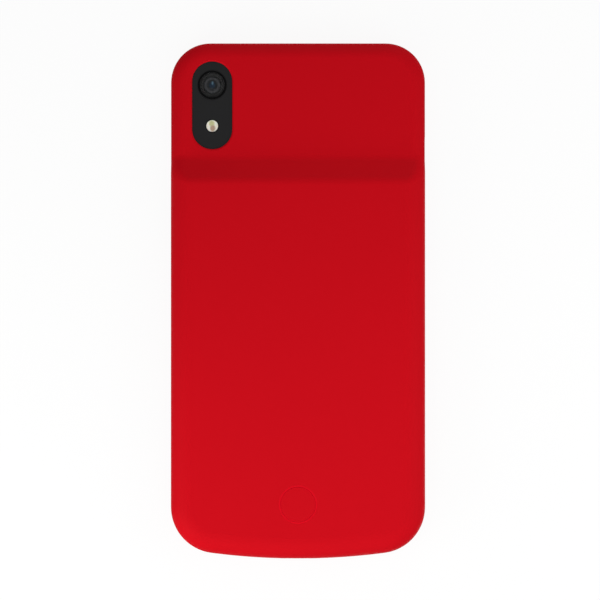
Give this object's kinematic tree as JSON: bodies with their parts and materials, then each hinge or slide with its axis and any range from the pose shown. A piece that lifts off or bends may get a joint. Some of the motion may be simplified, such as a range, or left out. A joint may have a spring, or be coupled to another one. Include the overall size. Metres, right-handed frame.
{
  "type": "battery charging case",
  "caption": "Red clip-on phone case with a thin upper back, a sloped step up to a battery bulge, a camera window, a flush round power button and a charging plug in its chin.",
  "frame": {"origin": "on the front rim plane, under the middle of the case's outline; the case lies on its open front", "axes": "+X across the back as seen in the picture, +Y from the charging socket to the camera end, +Z from the front rim to the back"},
  "size_m": [0.0796, 0.1614, 0.0164],
  "materials": {
    "shell_red": "soft satin",
    "tray_black": "fine matt grain",
    "lining_black": "short soft pile",
    "steel": "plain",
    "contact_gold": "plated",
    "board_green": "solder mask",
    "component_black": "moulded",
    "capacitor_tan": "ceramic",
    "light_white": "clear epoxy",
    "cell_silver": "pouch foil",
    "pad_grey": "foam tape",
    "lead_nickel": "plain",
    "ring_red": "translucent",
    "camera_black": "satin",
    "lens_black": "polished",
    "lens_clear": "coated",
    "flash_amber": "frosted"
  },
  "bodies": {
    "case": {"outer_shell": "shell_red", "inner_tray": "tray_black", "back_lining": "lining_black", "battery_cell": "cell_silver", "battery_pad": "pad_grey", "protection_board": "board_green", "positive_lead": "lead_nickel", "negative_lead": "lead_nickel", "main_board": "board_green", "board_screws": "steel", "controller_chip": "component_black", "charger_chip": "component_black", "power_inductor": "component_black", "board_capacitors": "capacitor_tan", "tact_switch": "component_black", "light_ring": "ring_red", "indicator_leds": "light_white", "socket_shell": "steel", "socket_tongue": "component_black", "plug_base": "tray_black", "plug_tongue": "steel", "plug_contacts": "contact_gold", "plug_board": "board_green", "plug_flex": "component_black", "camera_plate": "camera_black", "lens_ring": "lens_black", "lens_glass": "lens_clear", "lens_barrel": "lens_black", "lens_element": "lens_clear", "flash_lens": "flash_amber"},
    "button": {"power_button": "shell_red", "switch_plunger": "component_black"}
  },
  "joints": [
    {"name": "button_press", "type": "slide", "parent": "case", "child": "button", "axis": [0, 0, -1], "range_m": [0, 0.0003], "stiffness_N_per_m": 4000}
  ]
}
